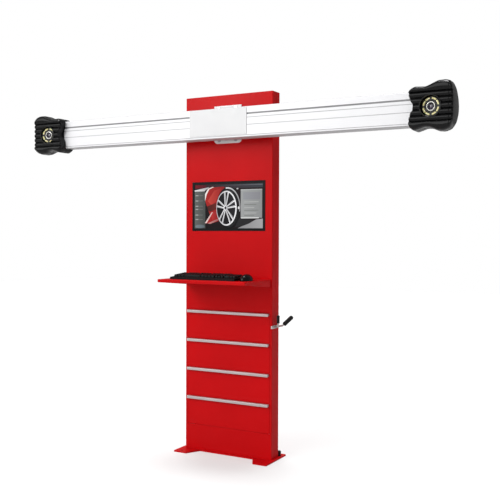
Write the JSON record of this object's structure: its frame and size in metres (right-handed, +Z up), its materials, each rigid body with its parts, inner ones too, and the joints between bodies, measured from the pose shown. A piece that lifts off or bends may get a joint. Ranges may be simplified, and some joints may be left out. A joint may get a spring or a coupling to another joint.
{
  "type": "wheel aligner",
  "caption": "Slim red sheet-metal column with a flush screen, keyboard shelf and shallow drawers, carrying a long silver beam with a ribbed black camera pod at each end.",
  "frame": {"origin": "centre of the column's footprint, on the underside of the base plate", "axes": "+X to the right for a user who faces the screen, along the beam; +Y from the user towards the rear; +Z up"},
  "size_m": [2.796, 0.469, 2.169],
  "materials": {
    "red_paint": "gloss",
    "white_paint": "satin",
    "anodised_aluminium": "satin",
    "plate_silver": "matte",
    "zinc_steel": "satin",
    "grey_paint": "satin",
    "hook_steel": "satin",
    "chrome": "polished",
    "black_steel": "satin",
    "pod_plastic": "semi-gloss",
    "camera_black": "matte",
    "led_gold": "gloss",
    "lens_glass": "gloss",
    "monitor_black": "matte",
    "screen": "gloss",
    "computer_grey": "matte",
    "keyboard_black": "matte",
    "key_black": "matte",
    "mouse_black": "satin",
    "rubber": "matte",
    "cable_black": "matte",
    "inlet_black": "matte"
  },
  "bodies": {
    "column": {"base_plate": "red_paint", "inner_frame": "zinc_steel", "front_panel": "red_paint", "rear_panel": "red_paint", "top_cap": "red_paint", "door_hinges": "zinc_steel", "shelf": "red_paint", "panel_screws": "zinc_steel", "monitor_bezel": "monitor_black", "monitor_screen": "screen", "monitor_back": "monitor_black", "monitor_strap": "zinc_steel", "computer": "computer_grey", "drawer_runners": "zinc_steel", "beam_bracket": "white_paint", "frame_bolts": "zinc_steel", "beam": "anodised_aluminium", "name_plate": "plate_silver", "camera_harness": "cable_black", "side_hook": "hook_steel", "hook_sleeves": "rubber", "power_inlet": "inlet_black", "pod_front_shell_left": "pod_plastic", "pod_front_shell_right": "pod_plastic", "pod_rear_shell_left": "pod_plastic", "pod_rear_shell_right": "pod_plastic", "pod_end_cap_left": "pod_plastic", "pod_end_cap_right": "pod_plastic", "pod_bracket_left": "zinc_steel", "pod_bracket_right": "zinc_steel"},
    "rear_door": {"rear_door": "red_paint"},
    "door_latch": {"door_latch": "chrome"},
    "levelling_screw_left": {"levelling_screw_left": "black_steel"},
    "levelling_screw_right": {"levelling_screw_right": "black_steel"},
    "keyboard": {"keyboard_case": "keyboard_black", "keyboard_keys": "key_black"},
    "space_bar": {"space_bar": "key_black"},
    "mouse": {"mouse_shell": "mouse_black"},
    "mouse_left_button": {"mouse_left_button": "mouse_black"},
    "mouse_right_button": {"mouse_right_button": "mouse_black"},
    "mouse_wheel": {"mouse_wheel": "rubber"},
    "camera_left": {"camera_body_left": "camera_black", "led_ring_left": "led_gold", "camera_lens_left": "lens_glass"},
    "camera_right": {"camera_body_right": "camera_black", "led_ring_right": "led_gold", "camera_lens_right": "lens_glass"},
    "rocker_switch": {"rocker_switch": "inlet_black"},
    "drawer_1": {"drawer_1_front": "red_paint", "drawer_1_pull": "anodised_aluminium", "drawer_1_tray": "grey_paint"},
    "drawer_2": {"drawer_2_front": "red_paint", "drawer_2_pull": "anodised_aluminium", "drawer_2_tray": "grey_paint"},
    "drawer_3": {"drawer_3_front": "red_paint", "drawer_3_pull": "anodised_aluminium", "drawer_3_tray": "grey_paint"},
    "drawer_4": {"drawer_4_front": "red_paint", "drawer_4_pull": "anodised_aluminium", "drawer_4_tray": "grey_paint"}
  },
  "joints": [
    {"name": "drawer_1_slide", "type": "slide", "parent": "column", "child": "drawer_1", "axis": [0, -1, 0], "range_m": [0, 0.06]},
    {"name": "drawer_2_slide", "type": "slide", "parent": "column", "child": "drawer_2", "axis": [0, -1, 0], "range_m": [0, 0.06]},
    {"name": "drawer_3_slide", "type": "slide", "parent": "column", "child": "drawer_3", "axis": [0, -1, 0], "range_m": [0, 0.06]},
    {"name": "drawer_4_slide", "type": "slide", "parent": "column", "child": "drawer_4", "axis": [0, -1, 0], "range_m": [0, 0.06]},
    {"name": "rear_door_hinge", "type": "hinge", "parent": "column", "child": "rear_door", "pos_m": [-0.274, 0.0498, 1.505], "axis": [0, 0, 1], "range_deg": [0, 110]},
    {"name": "door_latch_turn", "type": "hinge", "parent": "rear_door", "child": "door_latch", "pos_m": [0.238, 0.05, 1.505], "axis": [0, 1, 0], "range_deg": [0, 90]},
    {"name": "levelling_screw_left_turn", "type": "hinge", "parent": "column", "child": "levelling_screw_left", "pos_m": [-0.296, 0.061, 0.02], "axis": [0, 0, 1], "continuous": true},
    {"name": "camera_left_aim", "type": "hinge", "parent": "column", "child": "camera_left", "pos_m": [-1.28391, -0.178, 1.982], "axis": [0, 0, 1], "range_deg": [-5, 5]},
    {"name": "levelling_screw_right_turn", "type": "hinge", "parent": "column", "child": "levelling_screw_right", "pos_m": [0.296, 0.061, 0.02], "axis": [0, 0, 1], "continuous": true},
    {"name": "camera_right_aim", "type": "hinge", "parent": "column", "child": "camera_right", "pos_m": [1.28391, -0.178, 1.982], "axis": [0, 0, 1], "range_deg": [-5, 5]},
    {"name": "keyboard_lift", "type": "slide", "parent": "column", "child": "keyboard", "axis": [0, 0, 1], "range_m": [0, 0.12]},
    {"name": "space_bar_press", "type": "slide", "parent": "keyboard", "child": "space_bar", "axis": [0, 0.081, -0.9967], "range_m": [0, 0.003], "stiffness_N_per_m": 150, "springref_m": -0.003},
    {"name": "mouse_lift", "type": "slide", "parent": "column", "child": "mouse", "axis": [0, 0, 1], "range_m": [0, 0.12]},
    {"name": "mouse_left_click", "type": "hinge", "parent": "mouse", "child": "mouse_left_button", "pos_m": [0.241, -0.2364, 1.102], "axis": [-1, 0, 0], "range_deg": [0, 1.3], "stiffness_Nm_per_rad": 0.5, "springref_deg": -1.72},
    {"name": "mouse_right_click", "type": "hinge", "parent": "mouse", "child": "mouse_right_button", "pos_m": [0.241, -0.2364, 1.102], "axis": [-1, 0, 0], "range_deg": [0, 1.3], "stiffness_Nm_per_rad": 0.5, "springref_deg": -1.72},
    {"name": "mouse_wheel_turn", "type": "hinge", "parent": "mouse", "child": "mouse_wheel", "pos_m": [0.241, -0.217, 1.0945], "axis": [1, 0, 0], "continuous": true},
    {"name": "rocker_switch_tilt", "type": "hinge", "parent": "column", "child": "rocker_switch", "pos_m": [-0.182, 0.0435, 0.085], "axis": [1, 0, 0], "range_deg": [0, 18]}
  ]
}
